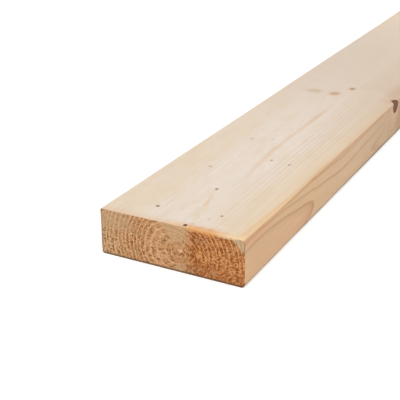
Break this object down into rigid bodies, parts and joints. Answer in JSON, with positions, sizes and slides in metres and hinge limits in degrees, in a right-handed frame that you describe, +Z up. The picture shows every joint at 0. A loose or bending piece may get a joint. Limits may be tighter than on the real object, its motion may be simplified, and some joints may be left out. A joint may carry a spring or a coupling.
{
  "type": "timber plank",
  "caption": "Straight sawn softwood plank of constant rectangular section, with eased long edges and square-cut ends, lying flat; general construction stock.",
  "frame": {"origin": "middle of the underside, on the surface the plank lies on", "axes": "+Y along the grain and the length, away from the pictured end; +X across the width; +Z up through the thickness"},
  "size_m": [0.145, 1.8, 0.045],
  "materials": {
    "softwood": "pale sawn and lightly planed softwood with knots, bare and unfinished"
  },
  "bodies": {
    "root": {"plank": "softwood"}
  },
  "joints": []
}
